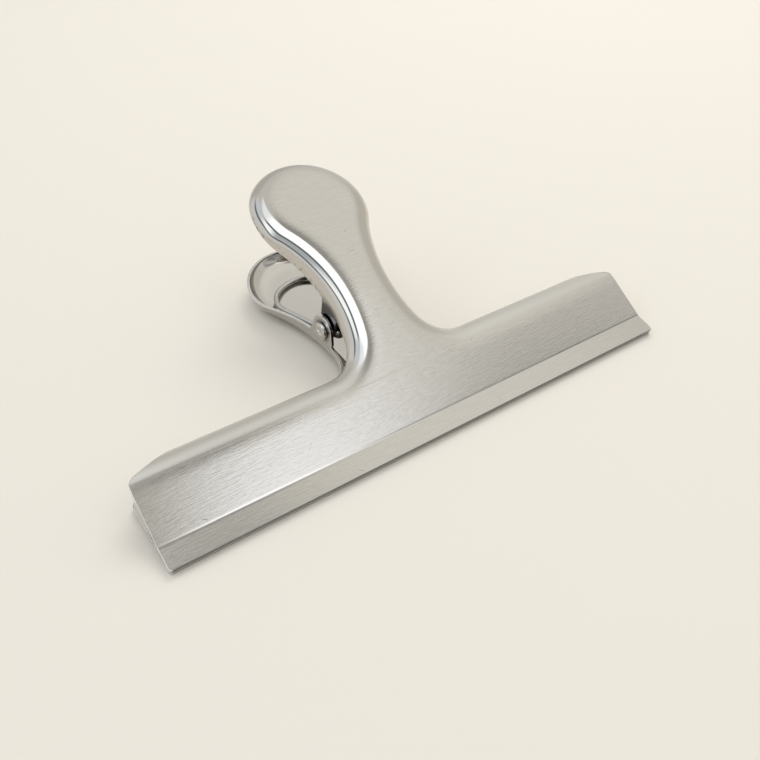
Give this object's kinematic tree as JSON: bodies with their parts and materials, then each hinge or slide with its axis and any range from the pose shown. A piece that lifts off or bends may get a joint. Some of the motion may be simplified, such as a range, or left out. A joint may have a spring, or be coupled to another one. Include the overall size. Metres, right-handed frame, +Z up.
{
  "type": "letter clip",
  "caption": "Wide sprung letter clip of pressed brushed steel: mirrored plates hinged on a riveted pin, with straight gripping lips and rounded paddle handles.",
  "frame": {"origin": "centre of the bounding box at table level, with the clip lying on its lower plate as it would on a table", "axes": "+X along the jaws, +Y from the gripping lips towards the handles, +Z up; the mid-plane between the plates rises towards the handles"},
  "size_m": [0.12, 0.0722, 0.0326],
  "materials": {
    "brushed_plate": "stainless sheet, brushed along the jaws, with smooth rolled edges",
    "rivet_steel": "plain bright steel rivet",
    "spring_wire": "drawn bright spring wire"
  },
  "bodies": {
    "lower_half": {"lower_plate": "brushed_plate", "hinge_pin": "rivet_steel", "torsion_spring": "spring_wire"},
    "upper_half": {"upper_plate": "brushed_plate"}
  },
  "joints": [
    {"name": "jaw_hinge", "type": "hinge", "parent": "lower_half", "child": "upper_half", "pos_m": [0, -0.00093, 0.00789], "axis": [-1, 0, 0], "range_deg": [0, 38], "stiffness_Nm_per_rad": 0.08, "springref_deg": -68.75, "deforming": ["torsion_spring"]}
  ]
}
